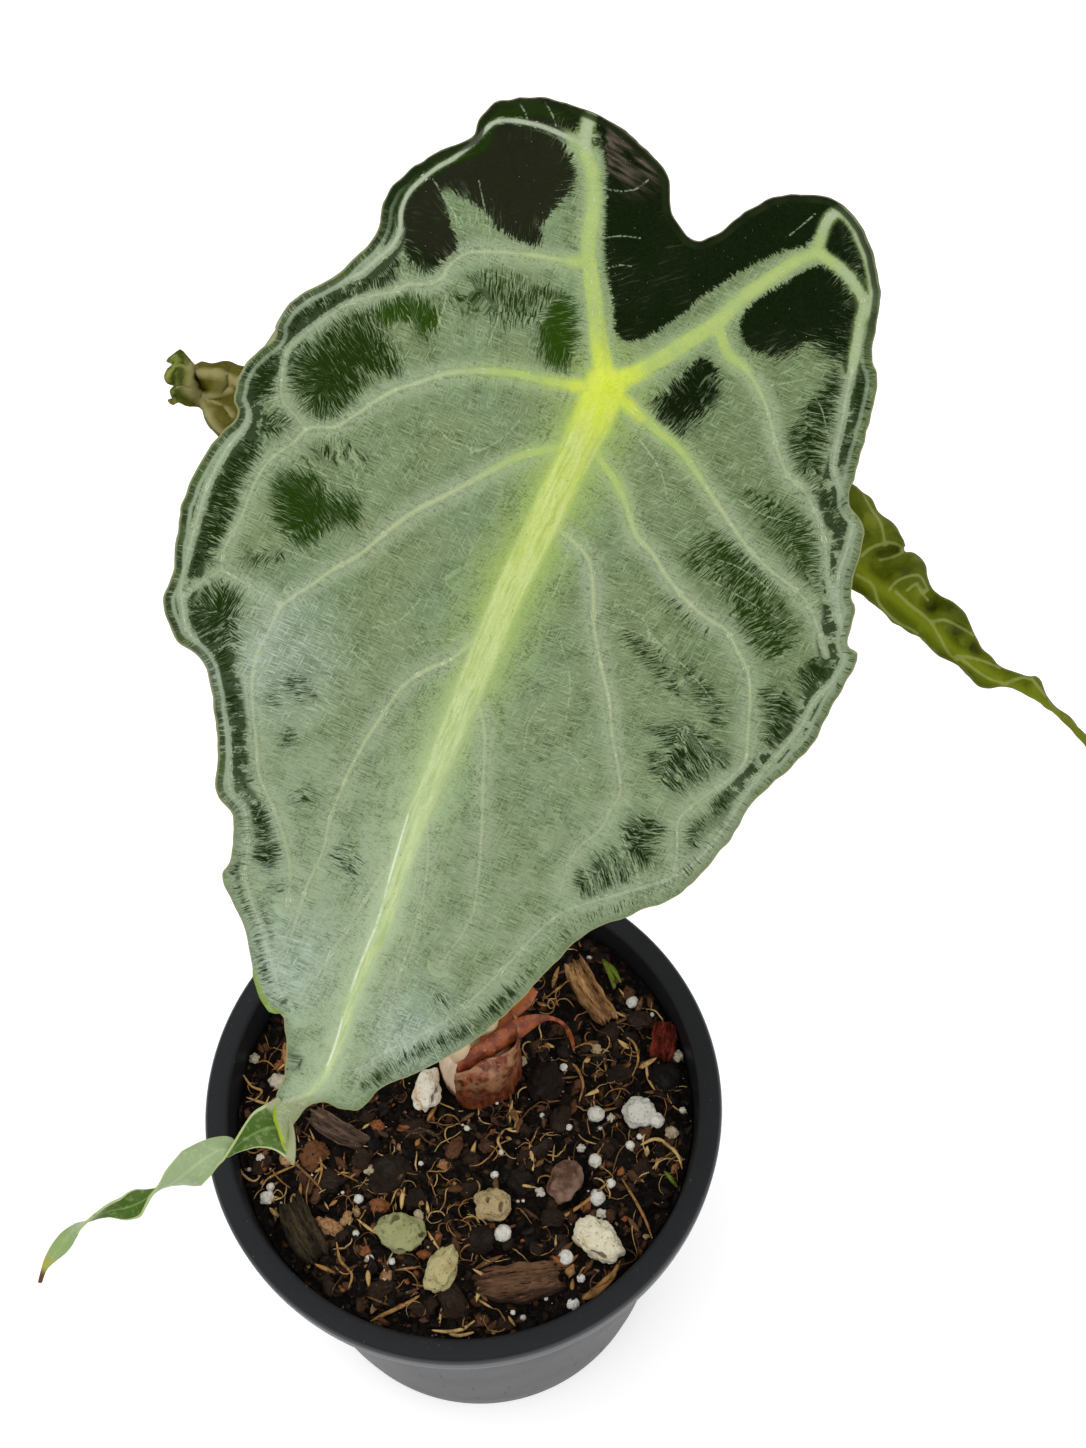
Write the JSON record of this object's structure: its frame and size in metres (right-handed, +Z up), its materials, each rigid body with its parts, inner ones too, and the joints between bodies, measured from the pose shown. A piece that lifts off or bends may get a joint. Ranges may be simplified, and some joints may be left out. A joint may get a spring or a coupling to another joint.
{
  "type": "potted venom alocasia",
  "caption": "Potted alocasia: a silvery shield-shaped leaf with a twisted tail, narrower leaves behind it, a corm in bark mix and a tapered plastic pot.",
  "frame": {"origin": "centre of the pot's base, on the surface it stands on", "axes": "+Z up; -Y is the front that the main leaf's upper side faces; +X is to the right seen from the front"},
  "size_m": [0.227, 0.1606, 0.3268],
  "materials": {
    "pot_plastic": "charcoal moulded plastic, satin, lightly scuffed",
    "bark_mix": "damp dark bark mix with fibres and perlite",
    "corm_skin": "pale pink-beige fleshy stem",
    "dry_sheath": "dry red-brown leaf base, papery",
    "stalk_green": "yellow-green smooth stalk, brown at its foot",
    "leaf_silver": "silver-green between dark green windows, pale veins, soft sheen",
    "leaf_olive": "olive-brown underside with pale net veins",
    "leaf_bright": "bright yellow-green, quilted, glossy",
    "pumice": "cream pumice, rough and pitted",
    "pebble": "mauve-brown stone, dull",
    "bark": "brown fibrous bark"
  },
  "bodies": {
    "root": {"pot": "pot_plastic", "soil": "bark_mix", "corm": "corm_skin", "dry_sheath": "dry_sheath", "main_petiole": "stalk_green", "main_leaf": "leaf_silver", "left_petiole": "stalk_green", "left_leaf": "leaf_olive", "right_petiole": "stalk_green", "right_leaf": "leaf_bright", "pumice_1": "pumice", "pumice_2": "pumice", "pumice_3": "pumice", "pumice_4": "pumice", "pumice_5": "pumice", "pumice_6": "pumice", "pebble": "pebble", "bark_1": "bark", "bark_2": "bark", "bark_3": "bark", "bark_4": "bark", "bark_5": "bark"}
  },
  "joints": []
}
